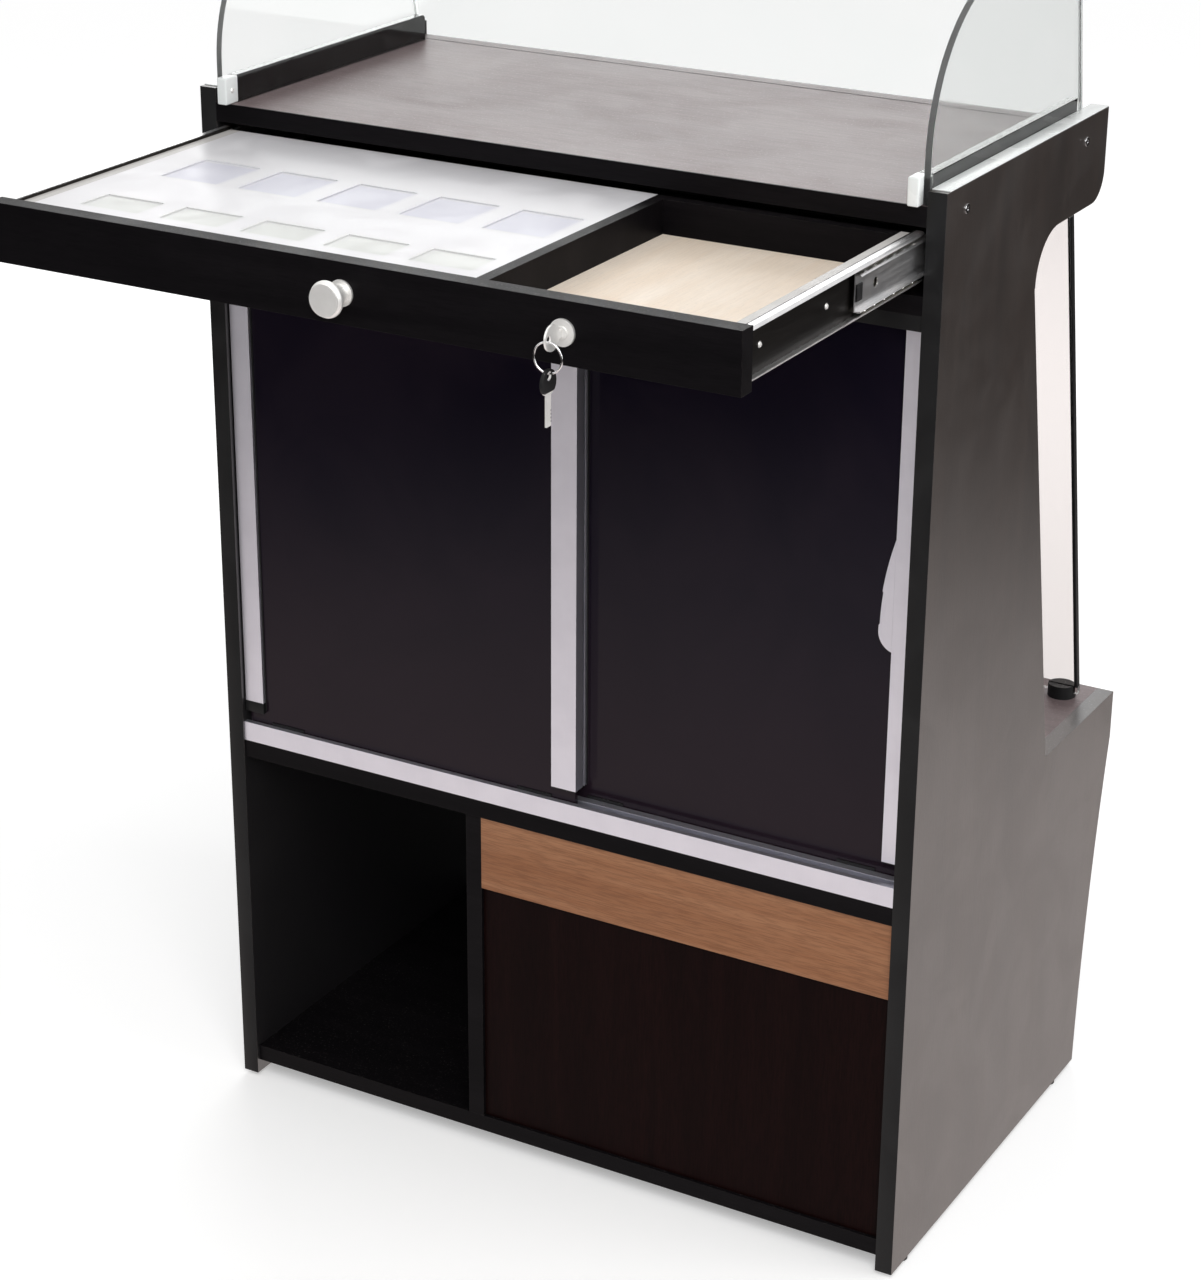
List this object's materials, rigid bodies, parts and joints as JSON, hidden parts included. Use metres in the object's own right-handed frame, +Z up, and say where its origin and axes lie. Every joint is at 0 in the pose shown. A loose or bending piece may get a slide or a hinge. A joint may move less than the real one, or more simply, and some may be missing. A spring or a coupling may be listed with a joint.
{
  "type": "presentation lectern",
  "caption": "Standing lectern with shaped dark side panels, clear guard, drawer on ball-bearing slides, sliding glass doors and an open niche.",
  "frame": {"origin": "on the floor, at the centre of the object's overall box with the drawer out", "axes": "+X to the speaker's right, +Y from the speaker towards the audience, +Z up"},
  "size_m": [0.7852, 0.8954, 1.265],
  "materials": {
    "dark_laminate": "dark brown wood-grain laminate, matt",
    "grey_laminate": "warm grey high-pressure laminate, satin",
    "black_board": "black laminated board, satin",
    "red_brown_board": "very dark red-brown laminate",
    "orange_wood": "orange-brown wood board, fine grain",
    "aluminium_satin": "satin anodised aluminium",
    "black_plastic": "black moulded plastic",
    "clear_acrylic": "clear acrylic sheet, polished edges",
    "clip_plastic": "white translucent plastic",
    "zinc_steel": "zinc-plated steel",
    "cage_steel": "thin pressed steel",
    "bright_steel": "polished steel",
    "satin_nickel": "satin nickel",
    "beech": "pale beech-look board",
    "pale_melamine": "pale grey melamine board",
    "white_board": "white board with shallow wells",
    "smoked_glass": "dark smoked glass"
  },
  "bodies": {
    "cabinet": {"side_panel_left": "dark_laminate", "side_panel_right": "dark_laminate", "worktop": "grey_laminate", "worktop_edging": "black_board", "drawer_rail": "black_board", "nose_shell": "dark_laminate", "back_board": "dark_laminate", "deck": "black_board", "shelf": "black_board", "shelf_pins": "zinc_steel", "ledge_board": "grey_laminate", "ledge_fascia": "dark_laminate", "lower_back": "dark_laminate", "base_board": "black_board", "partition": "black_board", "wood_rail": "orange_wood", "service_panel": "red_brown_board", "glides": "black_plastic", "bottom_track": "aluminium_satin", "top_track": "black_plastic", "worktop_screws": "bright_steel", "guard_wing_left": "clear_acrylic", "guard_wing_right": "clear_acrylic", "guard_back": "clear_acrylic", "guard_clips": "clip_plastic", "guard_bars": "clear_acrylic", "audience_sheet": "clear_acrylic", "audience_feet": "black_plastic", "audience_holders": "aluminium_satin", "slide_fixed_left": "zinc_steel", "slide_fixed_right": "zinc_steel"},
    "slide_middles": {"slide_middle_left": "zinc_steel", "slide_middle_right": "zinc_steel"},
    "cage_set_inner": {"cages_inner": "cage_steel", "balls_inner": "bright_steel"},
    "cage_set_outer": {"cages_outer": "cage_steel", "balls_outer": "bright_steel"},
    "drawer": {"slide_drawer_left": "zinc_steel", "slide_drawer_right": "zinc_steel", "drawer_front": "black_board", "drawer_side_left": "pale_melamine", "drawer_side_right": "pale_melamine", "drawer_back": "black_board", "drawer_bottom": "beech", "drawer_divider": "black_board", "drawer_board": "white_board", "knob": "satin_nickel", "lock_barrel": "satin_nickel"},
    "lock_key": {"lock_core": "satin_nickel", "lock_cam": "zinc_steel", "key": "satin_nickel"},
    "ring": {"key_ring": "bright_steel"},
    "key_spare": {"spare_key": "satin_nickel"},
    "door_left": {"door_glass_left": "smoked_glass", "door_stiles_left": "aluminium_satin", "door_shoes_left": "black_plastic"},
    "door_right": {"door_glass_right": "smoked_glass", "door_stiles_right": "aluminium_satin", "door_shoes_right": "black_plastic", "door_pull": "aluminium_satin"}
  },
  "joints": [
    {"name": "drawer_slide", "type": "slide", "parent": "cabinet", "child": "drawer", "axis": [0, -1, 0], "range_m": [-0.34, 0.008]},
    {"name": "slide_middle_travel", "type": "slide", "parent": "cabinet", "child": "slide_middles", "axis": [0, -1, 0], "range_m": [-0.17, 0.004]},
    {"name": "cage_inner_travel", "type": "slide", "parent": "cabinet", "child": "cage_set_inner", "axis": [0, -1, 0], "range_m": [-0.085, 0.002]},
    {"name": "cage_outer_travel", "type": "slide", "parent": "cabinet", "child": "cage_set_outer", "axis": [0, -1, 0], "range_m": [-0.255, 0.006]},
    {"name": "door_left_slide", "type": "slide", "parent": "cabinet", "child": "door_left", "axis": [1, 0, 0], "range_m": [0, 0.33]},
    {"name": "door_right_slide", "type": "slide", "parent": "cabinet", "child": "door_right", "axis": [-1, 0, 0], "range_m": [0, 0.33]},
    {"name": "lock_turn", "type": "hinge", "parent": "drawer", "child": "lock_key", "pos_m": [0.212, -0.4133, 1.0395], "axis": [0, 1, 0], "range_deg": [0, 90]},
    {"name": "ring_swing", "type": "hinge", "parent": "lock_key", "child": "ring", "pos_m": [0.212, -0.4367, 1.0395], "axis": [1, 0, 0], "range_deg": [-40, 5]},
    {"name": "spare_key_swing", "type": "hinge", "parent": "ring", "child": "key_spare", "pos_m": [0.212, -0.4367, 1.0097], "axis": [1, 0, 0], "range_deg": [-25, 15]}
  ],
  "couplings": [
    {"joint": "slide_middle_travel", "follows": "drawer_slide", "ratio": 0.5},
    {"joint": "cage_inner_travel", "follows": "drawer_slide", "ratio": 0.25},
    {"joint": "cage_outer_travel", "follows": "drawer_slide", "ratio": 0.75}
  ]
}
